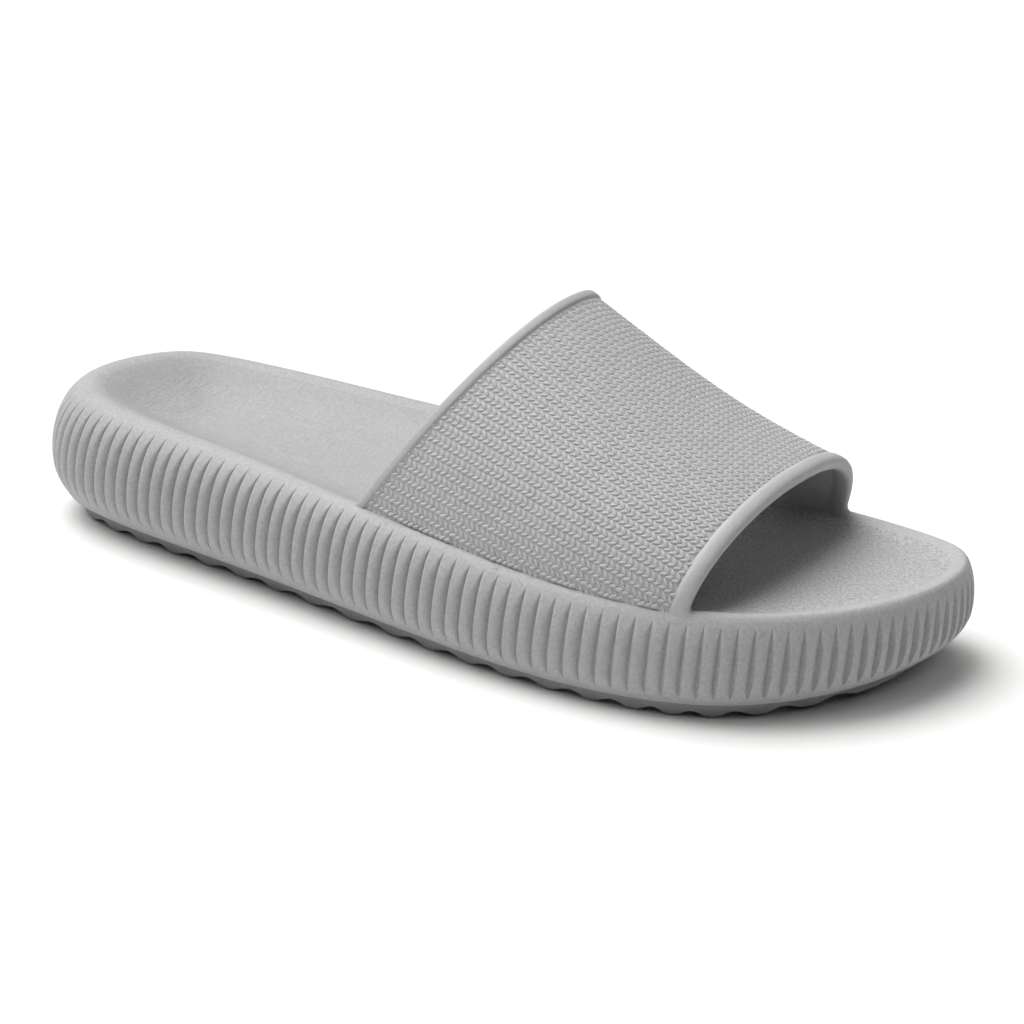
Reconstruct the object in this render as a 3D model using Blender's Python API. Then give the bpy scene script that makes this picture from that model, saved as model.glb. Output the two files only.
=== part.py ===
"""Platform slipper: a thick moulded foam slide for the right foot, open at the toe and the heel.

Four pieces: a ribbed platform sole, a lugged outsole under it, a dished insole in the top of
the sole, and one wide strap that is the upper.

Frame: +X to the toe, +Y to the inner side of the foot, +Z up. The origin is on the floor under
the middle of the sole. Sizes below are in millimetres and become metres when a mesh is made.
"""
from collections import namedtuple

import bmesh
import bpy
import numpy as np

MM = 0.001

# Clearance between pieces that lie on each other
SEAT_GAP = 0.3

# The sole, one row for each section from heel to toe:
# along is the place on the length, lateral and medial are the two edges of the outline,
# rim is the height of the rim's crest, roll is how far the side leans in to reach the crest,
# rib_top is the share of the side's height where the ribs end, bed is the height of the footbed,
# base is the height of the side's foot over the tread's lugs, tread is how far the outsole is set in
# from that foot
Section = namedtuple("Section", "place along lateral medial rim roll rib_top bed base tread")
SECTIONS = [
    Section("heel tip", -140.0, 9.0, 9.0, 39.5, 12.0, 0.945, 31.0, 5.0, 4.2),
    Section("heel", -132.0, -14.0, 38.5, 39.0, 11.5, 0.945, 30.5, 5.0, 4.2),
    Section("seat", -112.0, -26.5, 54.0, 37.5, 11.5, 0.960, 29.0, 4.9, 4.2),
    Section("arch", -60.0, -37.5, 56.5, 35.5, 10.5, 0.975, 28.0, 4.6, 4.2),
    Section("joint", 0.0, -50.0, 57.0, 32.5, 8.0, 0.985, 27.0, 4.1, 3.2),
    Section("ball", 55.0, -57.0, 54.5, 29.5, 6.5, 0.970, 26.5, 3.2, 1.9),
    Section("toes", 98.0, -49.0, 51.5, 29.0, 5.5, 0.945, 27.0, 3.8, 2.2),
    Section("toe bend", 124.0, -25.5, 46.0, 28.5, 4.5, 0.925, 27.0, 3.9, 4.6),
    Section("toe front", 135.0, -5.0, 38.5, 28.5, 4.0, 0.920, 27.0, 4.4, 5.6),
    Section("toe tip", 140.0, 20.5, 20.5, 28.5, 3.5, 0.920, 27.0, 4.6, 5.8),
]

# Toe spring of the sole's underside
SPRING_START = 92.0
TOE_SPRING = 3.7
TOE_END = SECTIONS[-1].along

# Barrel side: the share of its height where it is widest, and how it tucks in below that
BELLY = 0.42
TUCK = 0.16
TUCK_POWER = 2.3

# Ribs of the side: lens-shaped grooves between soft ribs
RIBS = 148
GROOVE_PHASE = 0.55
GROOVE_DEPTH = 1.3
GROOVE_SPREAD = 0.75
GROOVE_FULLNESS = 3.0
RIB_BOTTOM = 0.098
GROOVE_ROWS = (0.12, 0.33, 0.60, 0.85)
RIM_ROWS = (0.35, 0.70, 1.0)

# Footbed: a bowl that falls fastest at its curl inside the rim and levels towards a spine
BED_CURL = 5.0
SPINE_END = 95.0
BED_COLUMNS = RIBS // 2
BED_REACH = (7.5, 14.0, 25.0)
RIM_MIDDLE = 1.8

# Insole: its edge lies just inside the strap's wall
INSOLE_EDGE = 3.9
INSOLE_THICKNESS = 2.5

# Outsole: a plate with transverse lugs that wave across the foot, the valleys between them arched
LUG_PLACES = (-118.0, -107.0, -95.0, -82.5, -69.5, -56.5, -43.5, -29.5, -14.5, 0.5, 13.0, 26.0,
              38.5, 51.5, 64.0, 75.5, 85.5, 95.0, 105.0, 114.5, 124.0)
LUG_FACE = 3.4
LUG_SLOPE = 2.3
SLOPE_RISE = 0.7
LUG_HEIGHT = 1.4
LUG_WAVE = 2.0
LUG_WAVES = 2.0
WAVE_FADE = 20.0
TREAD_ACROSS = 7

# The strap, one row for each of its two edges: lateral and medial are the places of its feet
# on the length, lean is how far its top lies ahead of its feet, rise is its height over the rim,
# shift is how far its top lies towards the inner side
StrapEdge = namedtuple("StrapEdge", "place lateral medial lean rise shift")
COLLAR = StrapEdge("collar", -14.5, -11.5, 35.5, 54.0, 5.0)
THROAT = StrapEdge("throat", 88.4, 95.0, 4.9, 22.5, 7.0)
STRAP_SAG = 1.0
LATERAL_FULLNESS = 2.2
MEDIAL_FULLNESS = 2.3
STRAP_COLUMNS = 32
STRAP_BAYS = 4

# The strap's wall, one row for each line along its edges: inset is the distance from the edge,
# lift is how far the outer face stands proud, depth is how deep the inner face lies
WallLine = namedtuple("WallLine", "inset lift depth")
COLLAR_BEAD = [
    WallLine(0.0, 0.1, 2.2),
    WallLine(0.8, 0.9, 3.0),
    WallLine(2.3, 0.9, 3.0),
    WallLine(3.2, 0.0, 3.0),
]
THROAT_LIP = [
    WallLine(5.0, 0.0, 3.0),
    WallLine(3.8, 0.7, 3.2),
    WallLine(1.5, 0.7, 3.4),
    WallLine(0.4, 0.0, 3.0),
    WallLine(0.0, -0.8, 2.0),
]
STRAP_WALL = 3.0

# Foam colours, as shares of red, green and blue
SOLE_GREY = (0.43, 0.43, 0.42)
TREAD_GREY = (0.36, 0.36, 0.355)
BED_GREY = (0.41, 0.41, 0.405)
STRAP_GREY = (0.44, 0.44, 0.435)
FOAM_ROUGHNESS = 0.75
SMOOTH_ANGLE = 0.6


def from_table(x, name):
    """Smooth curve along the length through one column of the section table."""
    places = np.array([row.along for row in SECTIONS])
    values = np.array([getattr(row, name) for row in SECTIONS])
    spans = np.diff(places)
    rates = np.diff(values) / spans
    inner = (rates[:-1] * spans[1:] + rates[1:] * spans[:-1]) / (spans[1:] + spans[:-1])
    slopes = np.concatenate([rates[:1], inner, rates[-1:]])
    x = np.clip(x, places[0], places[-1])
    i = np.clip(np.searchsorted(places, x) - 1, 0, len(spans) - 1)
    t = (x - places[i]) / spans[i]
    start = values[i] * (1 + 2 * t) * (1 - t) ** 2 + slopes[i] * spans[i] * t * (1 - t) ** 2
    end = values[i + 1] * t * t * (3 - 2 * t) - slopes[i + 1] * spans[i] * t * t * (1 - t)
    return start + end


def closed_spline(points, steps=400):
    """Closed cubic curve, smooth in its bend, through points in the plane."""
    count = len(points)
    ahead = np.roll(points, -1, axis=0)
    span = np.sqrt(np.linalg.norm(ahead - points, axis=1))
    rate = (ahead - points) / span[:, None]
    system = np.zeros((count, count))
    for i in range(count):
        system[i, i - 1] = span[i - 1]
        system[i, i] = 2 * (span[i - 1] + span[i])
        system[i, (i + 1) % count] = span[i]
    bend = np.linalg.solve(system, 6 * (rate - np.roll(rate, 1, axis=0)))
    t = np.linspace(0, 1, steps, endpoint=False)[None, :, None]
    near = ((1 - t) ** 3 - (1 - t)) * bend[:, None]
    far = (t ** 3 - t) * np.roll(bend, -1, axis=0)[:, None]
    straight = points[:, None] * (1 - t) + ahead[:, None] * t
    return (straight + span[:, None, None] ** 2 / 6 * (near + far)).reshape(-1, 2)


def outline_samples():
    """The outline from the heel tip along the outer side to the toe and back, with its arc lengths."""
    lateral = [(row.along, row.lateral) for row in SECTIONS]
    medial = [(row.along, row.medial) for row in reversed(SECTIONS[1:-1])]
    curve = closed_spline(np.array(lateral + medial))
    steps = np.linalg.norm(np.roll(curve, -1, axis=0) - curve, axis=1)
    arcs = np.concatenate([[0.0], np.cumsum(steps)[:-1]])
    return curve, arcs, steps.sum()


OUTLINE, OUTLINE_ARC, PERIMETER = outline_samples()
TANGENT = np.roll(OUTLINE, -1, axis=0) - np.roll(OUTLINE, 1, axis=0)
INWARD = np.column_stack([-TANGENT[:, 1], TANGENT[:, 0]])
INWARD /= np.linalg.norm(INWARD, axis=1)[:, None]


def along_outline(values, arc):
    """Values kept at the outline's samples, read at other arc lengths."""
    columns = [np.interp(arc, OUTLINE_ARC, column, period=PERIMETER) for column in values.T]
    return np.column_stack(columns)


def toe_rise(x):
    """Height of the lugs' faces over the floor, which is the toe spring."""
    return TOE_SPRING * np.clip((x - SPRING_START) / (TOE_END - SPRING_START), 0, None) ** 2


def base_height(x):
    """Height of the sole's underside over the floor."""
    return from_table(x, "base") + toe_rise(x)


def side_points(arc, share, cut=0.0):
    """Points of the barrel side at a share of its height, cut in by a groove's depth."""
    edge = along_outline(OUTLINE, arc)
    inward = along_outline(INWARD, arc)
    x = edge[:, 0]
    base = base_height(x)
    height = from_table(x, "rim") - base
    low = np.clip((BELLY - share) / BELLY, 0, 1)
    high = np.clip((share - BELLY) / (1 - BELLY), 0, 1)
    inset = TUCK * height * low ** TUCK_POWER + from_table(x, "roll") * (1 - np.sqrt(1 - high ** 2)) + cut
    return np.column_stack([edge + inward * inset[:, None], base + height * share])


def bed_points(arc, reach, sink=0.0):
    """Points of the footbed at a distance inside the rim's crest, sunk below its surface."""
    crest = side_points(arc, 1.0)
    spine_x = np.clip(crest[:, 0], -SPINE_END, SPINE_END)
    spine_y = (from_table(spine_x, "lateral") + from_table(spine_x, "medial")) / 2
    way = np.column_stack([spine_x, spine_y]) - crest[:, :2]
    way /= np.linalg.norm(way, axis=1)[:, None]
    plan = crest[:, :2] + way * reach
    fall = 1 - (1 + reach / BED_CURL) * np.exp(-reach / BED_CURL)
    height = crest[:, 2] * (1 - fall) + from_table(plan[:, 0], "bed") * fall - sink
    return np.column_stack([plan, height])


def add_ring(bm, arc, points):
    """A closed ring of vertices in the order of its arc lengths."""
    vertices = [bm.verts.new(point * MM) for point in points]
    return list(zip(arc, vertices))


def stitch(bm, low, high):
    """Triangles between two closed rings, which may have different numbers of vertices."""
    i = 0
    j = 0
    while i < len(low) or j < len(high):
        next_low = low[(i + 1) % len(low)][0] + PERIMETER * ((i + 1) // len(low))
        next_high = high[(j + 1) % len(high)][0] + PERIMETER * ((j + 1) // len(high))
        a = low[i % len(low)][1]
        b = high[j % len(high)][1]
        if j >= len(high) or (i < len(low) and next_low <= next_high):
            bm.faces.new((a, low[(i + 1) % len(low)][1], b))
            i += 1
        else:
            bm.faces.new((a, high[(j + 1) % len(high)][1], b))
            j += 1


def close_ring(bm, ring):
    """Strips across a ring, from the outer side of the foot to the inner side."""
    vertices = [vertex for _, vertex in ring]
    count = len(vertices)
    for i in range(count // 2):
        corners = [vertices[i], vertices[i + 1], vertices[count - i - 1], vertices[-i]]
        bm.faces.new(list(dict.fromkeys(corners)))


def groove_ring(bm, level):
    """One row of the ribbed side: both lips and the bottom of each groove at a level of the ribs."""
    middle = groove_arcs()
    depth = GROOVE_DEPTH * (1 - abs(2 * level - 1) ** GROOVE_FULLNESS)
    half = depth * GROOVE_SPREAD
    arc = np.column_stack([middle - half, middle, middle + half]).ravel()
    cut = np.tile([0.0, depth, 0.0], RIBS)
    return add_ring(bm, arc, side_points(arc, rib_share(arc, level), cut))


def rib_share(arc, level):
    """Share of the side's height at a level of the ribs, 0 at their feet and 1 at their tops."""
    top = from_table(along_outline(OUTLINE, arc)[:, 0], "rib_top")
    return RIB_BOTTOM + (top - RIB_BOTTOM) * level


def rim_share(arc, turn):
    """Share of the side's height on the roll from the rib tops to the crest, by equal turns."""
    start = np.arcsin((rib_share(arc, 1.0) - BELLY) / (1 - BELLY))
    angle = start + (np.pi / 2 - start) * turn
    return BELLY + (1 - BELLY) * np.sin(angle)


def groove_arcs():
    """Arc lengths of the grooves' middle lines."""
    return (np.arange(RIBS) + GROOVE_PHASE) * PERIMETER / RIBS


def build_sole(bm):
    """The platform: underside, ribbed side, rolled rim and the recess for the insole."""
    arc = groove_arcs()
    rings = [add_ring(bm, arc, side_points(arc, 0.0))]
    rings.append(add_ring(bm, arc, side_points(arc, rib_share(arc, 0.0))))
    rings += [groove_ring(bm, level) for level in GROOVE_ROWS]
    rings.append(add_ring(bm, arc, side_points(arc, rib_share(arc, 1.0))))
    rings += [add_ring(bm, arc, side_points(arc, rim_share(arc, turn))) for turn in RIM_ROWS]
    inner_edge = INSOLE_EDGE - SEAT_GAP
    recess = INSOLE_THICKNESS + SEAT_GAP
    rings.append(add_ring(bm, arc, bed_points(arc, RIM_MIDDLE)))
    rings.append(add_ring(bm, arc, bed_points(arc, inner_edge)))
    rings.append(add_ring(bm, arc, bed_points(arc, inner_edge, recess)))
    rings += bed_rings(bm, recess)
    for low, high in zip(rings, rings[1:]):
        stitch(bm, low, high)
    close_ring(bm, rings[0])
    close_ring(bm, rings[-1])


def bed_rings(bm, sink):
    """Rings of the footbed from its edge towards its middle, sunk below its surface."""
    arc = groove_arcs()[::RIBS // BED_COLUMNS]
    return [add_ring(bm, arc, bed_points(arc, reach, sink)) for reach in BED_REACH]


def build_insole(bm):
    """The footbed liner: a thin dished sheet that lies in the recess of the sole."""
    arc = groove_arcs()
    rings = bed_rings(bm, INSOLE_THICKNESS)[::-1]
    rings.append(add_ring(bm, arc, bed_points(arc, INSOLE_EDGE, INSOLE_THICKNESS)))
    rings.append(add_ring(bm, arc, bed_points(arc, INSOLE_EDGE)))
    rings += bed_rings(bm, 0.0)
    for low, high in zip(rings, rings[1:]):
        stitch(bm, low, high)
    close_ring(bm, rings[0])
    close_ring(bm, rings[-1])


def two_sides(points):
    """A closed line as its lateral and medial halves, each in order along the length."""
    toe = int(np.argmax(points[:, 0]))
    halves = (points[:toe + 1], points[toe:])
    return [half[np.argsort(half[:, 0])] for half in halves]


LATERAL_CREST, MEDIAL_CREST = two_sides(side_points(OUTLINE_ARC, 1.0))
TREAD_OUTLINE = side_points(OUTLINE_ARC, 0.0)[:, :2]
TREAD_OUTLINE += INWARD * from_table(OUTLINE[:, 0], "tread")[:, None]
LATERAL_TREAD, MEDIAL_TREAD = two_sides(TREAD_OUTLINE)


def tread_stations():
    """Places on the length where the tread bends, each with its height over the lugs' faces."""
    first = TREAD_OUTLINE[:, 0].min() + SEAT_GAP
    last = TREAD_OUTLINE[:, 0].max() - SEAT_GAP
    shoulder = LUG_FACE / 2 + LUG_SLOPE
    stations = [(first, LUG_HEIGHT)]
    for place, ahead in zip(LUG_PLACES, LUG_PLACES[1:] + (last,)):
        stations.append((place - shoulder, LUG_HEIGHT * SLOPE_RISE))
        stations.append((place - LUG_FACE / 2, 0.0))
        stations.append((place + LUG_FACE / 2, 0.0))
        stations.append((place + shoulder, LUG_HEIGHT * SLOPE_RISE))
        stations.append(((place + ahead) / 2, LUG_HEIGHT))
    return stations + [(last, LUG_HEIGHT)]


def build_outsole(bm):
    """The tread plate with its transverse lugs, standing on the floor at heel and forefoot."""
    across = np.linspace(0, 1, TREAD_ACROSS)
    stations = tread_stations()
    first = stations[0][0]
    last = stations[-1][0]
    rows = []
    tops = []
    for x, rise in stations:
        fade = min((x - first) / WAVE_FADE, (last - x) / WAVE_FADE, 1.0)
        wave = LUG_WAVE * fade * np.sin(LUG_WAVES * 2 * np.pi * across) * np.sin(np.pi * across)
        edge = np.interp(x, LATERAL_TREAD[:, 0], LATERAL_TREAD[:, 1])
        inner = np.interp(x, MEDIAL_TREAD[:, 0], MEDIAL_TREAD[:, 1])
        places = np.full(TREAD_ACROSS, x) + wave
        floor = toe_rise(places) + rise
        points = np.column_stack([places, edge + (inner - edge) * across, floor])
        rows.append([bm.verts.new(point * MM) for point in points])
        top = base_height(x) - SEAT_GAP
        tops.append([bm.verts.new(np.array((x, y, top)) * MM) for y in (edge, inner)])
    for row, ahead, top, top_ahead in zip(rows, rows[1:], tops, tops[1:]):
        for i in range(TREAD_ACROSS - 1):
            bm.faces.new((row[i], row[i + 1], ahead[i + 1], ahead[i]))
        bm.faces.new((top[0], top_ahead[0], top_ahead[1], top[1]))
        bm.faces.new((row[0], ahead[0], top_ahead[0], top[0]))
        bm.faces.new((row[-1], top[1], top_ahead[1], ahead[-1]))
    bm.faces.new(rows[0][::-1] + tops[0])
    bm.faces.new(rows[-1] + tops[-1][::-1])


def strap_points(share, angle):
    """Points of the strap's face: share runs from collar to throat, angle from lateral to medial foot."""
    edge = {name: getattr(COLLAR, name) + (getattr(THROAT, name) - getattr(COLLAR, name)) * share
            for name in StrapEdge._fields[1:]}
    power = 2 / np.where(angle < np.pi / 2, LATERAL_FULLNESS, MEDIAL_FULLNESS)
    up = np.abs(np.sin(angle)) ** power
    side = np.sign(np.cos(angle)) * np.abs(np.cos(angle)) ** power
    across = (1 - side) / 2
    rise = edge["rise"] - STRAP_SAG * 4 * share * (1 - share)
    lateral_y = np.interp(edge["lateral"], LATERAL_CREST[:, 0], LATERAL_CREST[:, 1])
    medial_y = np.interp(edge["medial"], MEDIAL_CREST[:, 0], MEDIAL_CREST[:, 1])
    lateral_z = from_table(edge["lateral"], "rim")
    medial_z = from_table(edge["medial"], "rim")
    x = edge["lateral"] + (edge["medial"] - edge["lateral"]) * across + edge["lean"] * up
    y = lateral_y + (medial_y - lateral_y) * across + edge["shift"] * up ** 2
    z = lateral_z + (medial_z - lateral_z) * across + rise * up + SEAT_GAP
    return np.stack([x, y, z], axis=-1)


def strap_normals(share, angle, step=1e-3):
    """Outward unit normals of the strap's face, level at its feet."""
    inside = np.clip(angle, step, np.pi - step)
    along = strap_points(share + step, inside) - strap_points(share - step, inside)
    around = strap_points(share, inside + step) - strap_points(share, inside - step)
    normal = np.cross(along, around)
    at_foot = (angle < step) | (angle > np.pi - step)
    normal[..., 2] = np.where(at_foot, 0.0, normal[..., 2])
    return normal / np.linalg.norm(normal, axis=-1, keepdims=True)


def build_upper(bm):
    """The strap: one wall, hollow underneath, with a bead at the collar and a lip at the throat."""
    angle = np.linspace(0, np.pi, STRAP_COLUMNS + 1)
    length = np.linalg.norm(strap_points(np.ones_like(angle), angle)
                            - strap_points(np.zeros_like(angle), angle), axis=1)
    lines = [(line.inset / length, line.lift, line.depth) for line in COLLAR_BEAD]
    start = COLLAR_BEAD[-1].inset / length
    end = 1 - THROAT_LIP[0].inset / length
    lines += [(start + (end - start) * bay / STRAP_BAYS, 0.0, STRAP_WALL) for bay in range(1, STRAP_BAYS)]
    lines += [(1 - line.inset / length, line.lift, line.depth) for line in THROAT_LIP]
    outer = []
    inner = []
    for share, lift, depth in lines:
        face = strap_points(share, angle)
        normal = strap_normals(share, angle)
        outer.append([bm.verts.new(point * MM) for point in face + normal * lift])
        inner.append([bm.verts.new(point * MM) for point in face - normal * depth])
    loop = outer + inner[::-1]
    for line, ahead in zip(loop, loop[1:] + loop[:1]):
        for i in range(STRAP_COLUMNS):
            bm.faces.new((line[i], line[i + 1], ahead[i + 1], ahead[i]))
    for foot in (0, STRAP_COLUMNS):
        for i in range(len(lines) - 1):
            bm.faces.new((outer[i][foot], outer[i + 1][foot], inner[i + 1][foot], inner[i][foot]))


def foam_material(name, colour):
    """Matt moulded foam in one colour."""
    material = bpy.data.materials.new(name)
    material.use_nodes = True
    shader = material.node_tree.nodes["Principled BSDF"]
    shader.inputs["Base Color"].default_value = (*colour, 1.0)
    shader.inputs["Roughness"].default_value = FOAM_ROUGHNESS
    shader.inputs["Metallic"].default_value = 0.0
    return material


def add_piece(name, build, colour, parent):
    """One named piece with its own mesh and material, under the slipper's empty."""
    bm = bmesh.new()
    build(bm)
    bmesh.ops.triangulate(bm, faces=bm.faces[:])
    bmesh.ops.recalc_face_normals(bm, faces=bm.faces[:])
    mesh = bpy.data.meshes.new(name)
    bm.to_mesh(mesh)
    bm.free()
    mesh.shade_smooth()
    mesh.set_sharp_from_angle(angle=SMOOTH_ANGLE)
    mesh.materials.append(foam_material(name + "_foam", colour))
    piece = bpy.data.objects.new(name, mesh)
    piece.parent = parent
    bpy.context.collection.objects.link(piece)


def main():
    """Clear the scene and build the slipper."""
    for old in list(bpy.data.objects):
        bpy.data.objects.remove(old, do_unlink=True)
    slipper = bpy.data.objects.new("platform_slipper", None)
    bpy.context.collection.objects.link(slipper)
    add_piece("sole", build_sole, SOLE_GREY, slipper)
    add_piece("outsole", build_outsole, TREAD_GREY, slipper)
    add_piece("insole", build_insole, BED_GREY, slipper)
    add_piece("upper", build_upper, STRAP_GREY, slipper)


main()
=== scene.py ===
"""Platform slipper: the finished surfaces of a moulded foam slide for the right foot.

The four solids of the frame are dressed here: the platform sole with its ribbed side, the tread
under it, the grained footbed, and the strap with its moulded knit. The stage is a pale floor with
soft light. Tables and lengths in the code are in millimetres and become metres in the meshes.
"""
import math
from collections import namedtuple

import bpy
import numpy as np
from bpy.props import FloatProperty, FloatVectorProperty, IntProperty, PointerProperty
from mathutils import Matrix, Vector


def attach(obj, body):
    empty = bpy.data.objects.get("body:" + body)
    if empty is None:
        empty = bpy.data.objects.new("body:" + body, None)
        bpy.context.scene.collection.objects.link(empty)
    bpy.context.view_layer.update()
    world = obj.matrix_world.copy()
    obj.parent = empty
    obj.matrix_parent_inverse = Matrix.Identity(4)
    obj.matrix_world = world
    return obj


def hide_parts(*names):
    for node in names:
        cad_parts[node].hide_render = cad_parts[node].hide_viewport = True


bl_info = {
    "name": "Platform slipper",
    "version": (1, 0, 0),
    "blender": (4, 5, 0),
    "location": "View3D > Sidebar > Slipper",
    "description": "Builds a moulded foam platform slipper and its stage",
    "category": "Add Mesh",
}

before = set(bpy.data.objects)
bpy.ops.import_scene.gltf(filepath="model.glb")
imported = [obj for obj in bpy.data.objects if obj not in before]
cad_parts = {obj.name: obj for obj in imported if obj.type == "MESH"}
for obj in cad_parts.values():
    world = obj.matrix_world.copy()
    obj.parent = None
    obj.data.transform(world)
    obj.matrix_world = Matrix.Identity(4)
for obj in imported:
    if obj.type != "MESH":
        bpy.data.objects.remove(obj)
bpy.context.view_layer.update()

MM = 0.001
BODY = "root"

# The sole, one row for each section from heel to toe:
# along is the place on the length, lateral and medial are the two edges of the outline,
# rim is the height of the rim's crest, roll is how far the side leans in to reach the crest,
# rib_top is the share of the side's height where the ribs end, bed is the height of the footbed,
# base is the height of the side's foot over the tread's lugs, tread is how far the outsole is set in
# from that foot, curl is how far inside the crest the footbed's bowl falls fastest
Section = namedtuple("Section", "place along lateral medial rim roll rib_top bed base tread curl")
SECTIONS = [
    Section("heel tip", -140.0, 9.0, 9.0, 39.5, 12.0, 0.945, 31.0, 5.0, 4.2, 8.5),
    Section("heel", -132.0, -14.0, 38.5, 39.0, 11.5, 0.945, 30.5, 5.0, 4.2, 8.3),
    Section("seat", -112.0, -26.5, 54.0, 37.5, 11.5, 0.960, 29.0, 4.9, 4.2, 7.2),
    Section("arch", -60.0, -37.5, 56.5, 35.5, 10.5, 0.975, 28.0, 4.6, 4.2, 5.2),
    Section("joint", 0.0, -50.0, 57.0, 32.5, 8.0, 0.975, 27.0, 4.1, 3.2, 5.0),
    Section("ball", 55.0, -57.0, 54.5, 29.5, 6.5, 0.920, 26.5, 3.2, 1.9, 2.5),
    Section("toes", 98.0, -49.0, 51.5, 29.0, 5.5, 0.900, 27.0, 3.8, 2.2, 2.2),
    Section("toe bend", 124.0, -25.5, 46.0, 28.5, 4.5, 0.885, 27.0, 3.9, 4.6, 2.2),
    Section("toe front", 135.0, -5.0, 38.5, 28.5, 4.0, 0.880, 27.0, 4.4, 5.6, 2.2),
    Section("toe tip", 140.0, 20.5, 20.5, 28.5, 3.5, 0.880, 27.0, 4.6, 5.8, 2.2),
]

# Side of the sole: where the toe spring starts and its lift at the toe tip, the share of the side's height
# where its barrel is widest, how far it tucks in below that as a share of the height and how sharply, the
# share where the ribs start, and the width and the share of height of the bevel at its foot
SPRING_START = 92.0
TOE_SPRING = 3.7
TOE_END = SECTIONS[-1].along
BELLY = 0.42
TUCK = 0.16
TUCK_POWER = 2.3
RIB_BOTTOM = 0.098
BASE_EDGE = 0.5
BASE_EDGE_SHARE = 0.02

# Ribs, as they lie on the outer side: the place of the groove's crisp edge on the toe side in the first
# pitch, how far that edge leans to the toe from foot to top and bows to the toe between them, how far the
# deepest line lies off the middle as a share of the half width, how much softer the flank on the heel side
# bends, the shares of the depth at places on the length, and the mesh: columns across the groove in
# shares of its half width and across the rib in shares of its face, the half width that these columns keep
# where the groove ends, the half width that counts as none, and the rows up the ribs and over the rim
GROOVE_PHASE = 0.69
GROOVE_LEAN = 0.8
GROOVE_BOW = 0.55
GROOVE_SKEW = 0.45
HEEL_SOFTNESS = 1.6
FADE_PLACES = (0.0, 60.0, 90.0, 125.0)
GROOVE_FADES = (1.1, 0.7, 0.68, 0.8)
GROOVE_COLUMNS = np.array((-1.0, -0.8, -0.6, -0.4, -0.2, 0.0, 0.2, 0.4, 0.6, 0.8, 1.0))
RIB_COLUMNS = np.array((0.25, 0.5, 0.75))
GROOVE_MINIMUM = 0.25
NO_GROOVE = 0.001
RIB_ROWS = 24
RIM_ROWS = 8

# Footbed, a bowl whose rim runs on under its edge: the ends of the spine that it falls towards, the rings
# of the rim and of the liner by their distances inside the crest, the liner's columns and its lift over
# the rim's surface, the rings and the depth of the recess under it, and its thickness
SPINE_END = 95.0
RIM_REACH = (0.6, 1.2, 1.8, 2.4, 3.0, 3.6, 4.2)
BED_REACH = (3.6, 4.4, 5.4, 6.6, 8.0, 9.5, 11.0, 13.0, 15.0, 17.5, 20.0, 23.0, 26.0)
BED_COLUMNS = 444
BED_LIFT = 0.02
RECESS_REACH = (4.2, 8.0, 14.0, 26.0)
RECESS_DEPTH = 2.8
LINER_THICKNESS = 2.5

# Tread: the lugs' places on the length, the width of a lug's flat face, how round the valley between two
# lugs is, how far a lug waves along the length, its waves across the sole and how near the tread's ends
# they fade, the rows and columns of the mesh, how far the tread ends inside its seat at heel and toe, and
# how far it stands up into the sole
LUG_PLACES = (-118.0, -107.0, -95.0, -82.5, -69.5, -56.5, -43.5, -29.5, -14.5, 0.5, 13.0, 26.0,
              38.5, 51.5, 64.0, 75.5, 85.5, 95.0, 105.0, 114.5, 124.0)
LUG_FACE = 3.0
LUG_ROUND = 1.6
LUG_WAVE = 2.0
LUG_WAVES = 2.0
WAVE_FADE = 20.0
TREAD_LENGTHS = 320
TREAD_ACROSS = 36
SEAT_GAP = 0.3
TREAD_ROOT = 0.3

# The strap, one row for each of its two edges: lateral and medial are the places of its feet
# on the length, lean is how far its top lies ahead of its feet, rise is its height over the rim,
# shift is how far its top lies towards the inner side
StrapEdge = namedtuple("StrapEdge", "place lateral medial lean rise shift")
COLLAR = StrapEdge("collar", -14.5, -11.5, 35.5, 54.0, 5.0)
THROAT = StrapEdge("throat", 88.4, 95.0, 4.9, 22.5, 7.0)

# Arch of the strap: how far it sags between its edges, how square it is on the outer and on the inner
# side, the columns round it and the bays along it, the steps in which its length is measured, how far its
# feet stand in the rim, and how far its outer foot steps outside the rim's crest at the throat
STRAP_SAG = 1.0
LATERAL_FULLNESS = 2.2
MEDIAL_FULLNESS = 2.3
STRAP_COLUMNS = 180
STRAP_BAYS = 24
ARCH_STEPS = 4000
FOOT_ROOT = 1.6
FOOT_OUT = 1.8

# Section of each rolled edge of the strap: width along the wall, the heights of its crown and of
# its inner side over the wall's face, and how square its round is. Then the angles of the points round
# it, the wall's inner face under its outer one, and the gaps between the wall's rows and the two edges
RolledEdge = namedtuple("RolledEdge", "width crown under fullness")
BEAD = RolledEdge(3.0, 0.75, -3.0, 4.0)
LIP = RolledEdge(5.2, 0.75, -3.4, 2.6)
ROLL_TURNS = (150, 135, 118, 100, 82, 62, 42, 22, 0, -22, -45, -68, -90, -115, -140)
WALL_DEPTH = -3.0
BEAD_CLEAR = 0.5
LIP_CLEAR = 0.6

# Knit: how much wider its columns are at the rim and over what distance that fades, how far they drift
# to the outer side by the throat, and how the stitches of a column lead those of the ridge: the columns
# off the ridge where that starts, and its growth in pitches by the square of the columns from there.
# Relief fall is the power of the arch's sine by which the relief flattens towards the ridge
RIM_SWELL = 0.24
SWELL_SPAN = 10.0
DRIFT = (2.5, 7.0)
LEAD_START = 4.0
LEAD_GROWTH = 0.0135
RELIEF_FALL = 1.3

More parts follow.
